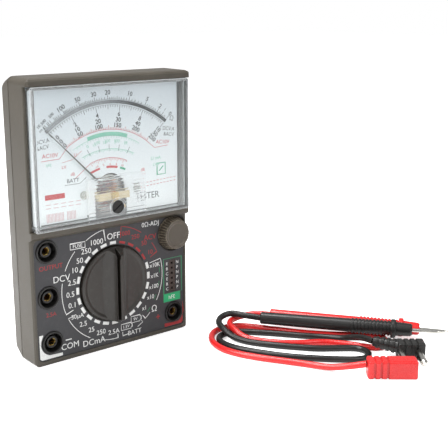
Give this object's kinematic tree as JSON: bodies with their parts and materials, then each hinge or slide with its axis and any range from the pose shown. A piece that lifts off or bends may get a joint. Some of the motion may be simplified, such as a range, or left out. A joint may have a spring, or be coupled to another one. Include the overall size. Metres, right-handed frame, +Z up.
{
  "type": "analog multimeter",
  "caption": "Analog multimeter with a moving-coil dial under a clear cover, a turning range selector, test jacks and a pair of test leads.",
  "frame": {"origin": "centre of the meter's base, halfway through its depth with the selector's grip counted in", "axes": "+X to the right as the user faces the dial, +Y from the dial towards the back, +Z up"},
  "size_m": [0.2039, 0.1654, 0.152],
  "materials": {
    "case_plastic": "fine matt grain",
    "clear_plastic": "clear moulded plastic",
    "panel_paint": "dark satin print ground",
    "steel": "bright nickel",
    "dial_paint": "silvery white",
    "mirror_strip": "polished",
    "beige_plastic": "moulded",
    "magnet": "lacquered",
    "brass": "machined",
    "copper": "enamelled wire",
    "pointer_paint": "white paint",
    "knob_plastic": "dark satin",
    "adjuster_plastic": "moulded, ribbed",
    "black_plastic": "soft satin",
    "board": "laminate",
    "blue_sleeve": "shrink sleeve",
    "fuse_glass": "clear tube with metal caps",
    "brown_plastic": "moulded",
    "cell_jacket": "printed jacket",
    "red_plastic": "soft PVC"
  },
  "bodies": {
    "meter": {"front_case": "case_plastic", "rear_case": "case_plastic", "meter_window": "clear_plastic", "panel_plate": "panel_paint", "case_screws": "steel", "dial_plate": "dial_paint", "scale_mirror": "mirror_strip", "dial_screws": "steel", "movement_frame": "beige_plastic", "movement_bridge": "beige_plastic", "yoke_ring": "steel", "core_magnet": "magnet", "bearing_screws": "brass", "rear_hairspring": "brass", "adjuster_body": "black_plastic", "circuit_board": "board", "switch_tracks": "copper", "board_screws": "steel", "resistors": "beige_plastic", "capacitors": "blue_sleeve", "diodes": "black_plastic", "fuse": "fuse_glass", "fuse_clips": "steel", "transistor_socket": "brown_plastic", "socket_contacts": "steel", "jack_insulators": "black_plastic", "jack_upper": "brass", "jack_middle": "brass", "jack_common": "brass", "jack_positive": "brass", "aa_cells": "cell_jacket", "cell_contacts": "steel", "cell_springs": "steel", "square_battery": "cell_jacket", "battery_snap": "black_plastic"},
    "selector": {"selector_knob": "knob_plastic", "selector_rotor": "beige_plastic", "rotor_wipers": "brass", "rotor_screw": "steel", "detent_balls": "steel", "detent_springs": "steel"},
    "adjuster": {"adjuster_knob": "adjuster_plastic", "adjuster_shaft": "steel"},
    "zero_set": {"zero_screw": "black_plastic"},
    "zero_lever": {"zero_arm": "brass", "front_hairspring": "brass"},
    "moving_system": {"moving_coil": "copper", "coil_staffs": "steel", "pointer": "pointer_paint", "pointer_weight": "brass"},
    "test_leads": {"red_cable": "red_plastic", "red_probe": "red_plastic", "red_tip": "steel", "red_plug": "red_plastic", "red_plug_pin": "steel", "black_cable": "black_plastic", "black_probe": "black_plastic", "black_tip": "steel", "black_plug": "black_plastic", "black_plug_pin": "steel"}
  },
  "joints": [
    {"name": "selector_turn", "type": "hinge", "parent": "meter", "child": "selector", "pos_m": [0, -0.011, 0.0375], "axis": [0, 1, 0], "continuous": true},
    {"name": "adjuster_turn", "type": "hinge", "parent": "meter", "child": "adjuster", "pos_m": [0.0403, -0.011, 0.0595], "axis": [0, 1, 0], "range_deg": [-140, 140]},
    {"name": "zero_screw_turn", "type": "hinge", "parent": "meter", "child": "zero_set", "pos_m": [0, -0.011, 0.0817], "axis": [0, 1, 0], "range_deg": [-45, 45]},
    {"name": "zero_lever_turn", "type": "hinge", "parent": "meter", "child": "zero_lever", "pos_m": [0, -0.011, 0.0875], "axis": [0, 1, 0], "range_deg": [-8, 8]},
    {"name": "pointer_swing", "type": "hinge", "parent": "meter", "child": "moving_system", "pos_m": [0, -0.011, 0.0875], "axis": [0, 1, 0], "range_deg": [0, 90], "stiffness_Nm_per_rad": 0.00002},
    {"name": "test_leads_lift", "type": "slide", "parent": "meter", "child": "test_leads", "axis": [0, 0, 1], "range_m": [0, 0.15]}
  ],
  "couplings": [
    {"joint": "zero_lever_turn", "follows": "zero_screw_turn", "ratio": 0.165}
  ]
}
